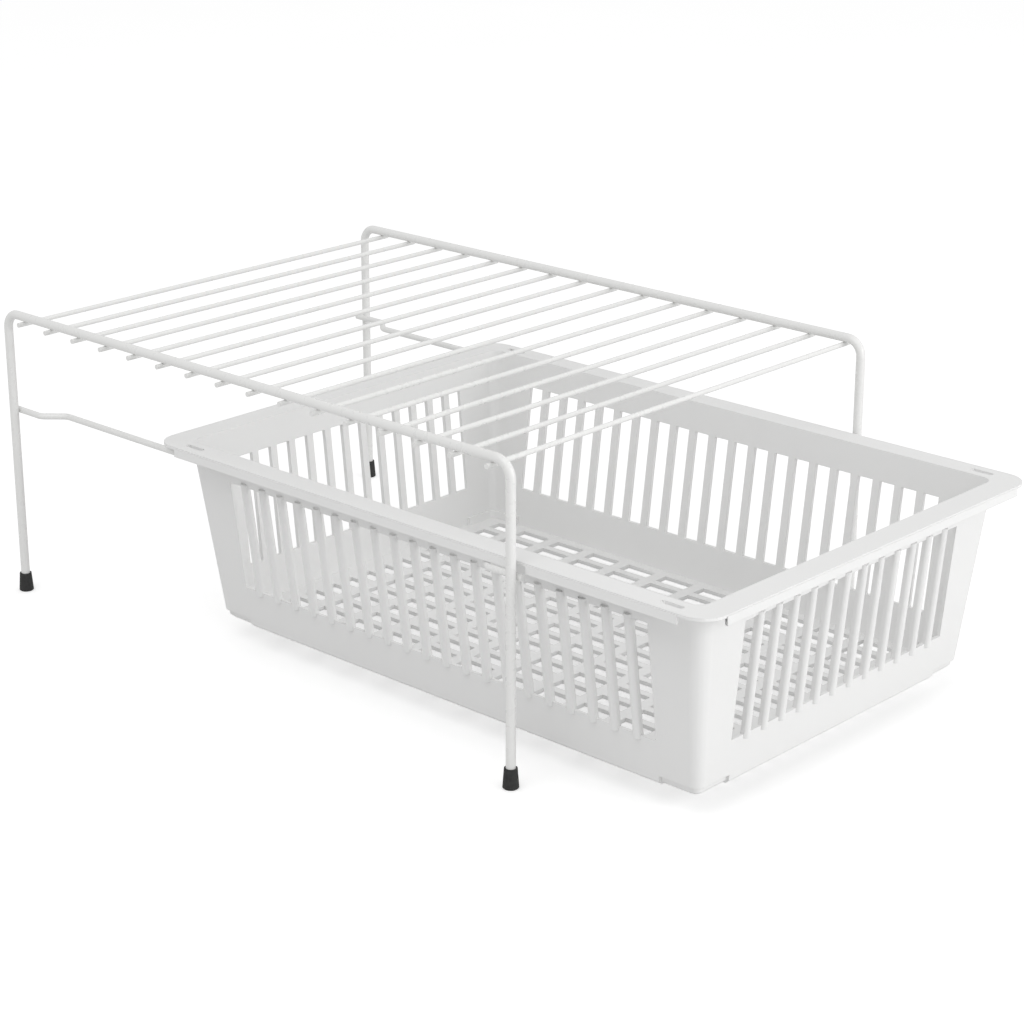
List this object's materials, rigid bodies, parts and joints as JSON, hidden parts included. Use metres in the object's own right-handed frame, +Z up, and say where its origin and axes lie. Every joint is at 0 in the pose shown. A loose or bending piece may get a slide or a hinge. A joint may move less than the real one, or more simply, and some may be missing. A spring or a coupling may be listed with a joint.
{
  "type": "under sink organizer",
  "caption": "Free-standing wire rack with a shelf of cross wires over a slotted basket, which hangs by its rim on two rails and slides out.",
  "frame": {"origin": "on the ground, under the middle of the whole organizer with the basket at rest, partly pulled out", "axes": "+Z up, +Y to the rear, -Y the front, where the basket slides out, +X to the right seen from the front"},
  "size_m": [0.3216, 0.5644, 0.19],
  "materials": {
    "wire_coating": "thick glossy white plastic coating",
    "foot_rubber": "matt black",
    "basket_plastic": "satin white moulding"
  },
  "bodies": {
    "rack": {"side_frame_left": "wire_coating", "side_frame_right": "wire_coating", "cross_wire_01": "wire_coating", "cross_wire_02": "wire_coating", "cross_wire_03": "wire_coating", "cross_wire_04": "wire_coating", "cross_wire_05": "wire_coating", "cross_wire_06": "wire_coating", "cross_wire_07": "wire_coating", "cross_wire_08": "wire_coating", "cross_wire_09": "wire_coating", "cross_wire_10": "wire_coating", "cross_wire_11": "wire_coating", "cross_wire_12": "wire_coating", "cross_wire_13": "wire_coating", "cross_wire_14": "wire_coating", "cross_wire_15": "wire_coating", "cross_wire_16": "wire_coating", "rail_left": "wire_coating", "rail_right": "wire_coating", "foot_front_left": "foot_rubber", "foot_front_right": "foot_rubber", "foot_rear_left": "foot_rubber", "foot_rear_right": "foot_rubber"},
    "basket": {"basket": "basket_plastic"}
  },
  "joints": [
    {"name": "basket_slide", "type": "slide", "parent": "rack", "child": "basket", "axis": [0, 1, 0], "range_m": [-0.07, 0.1295]}
  ]
}
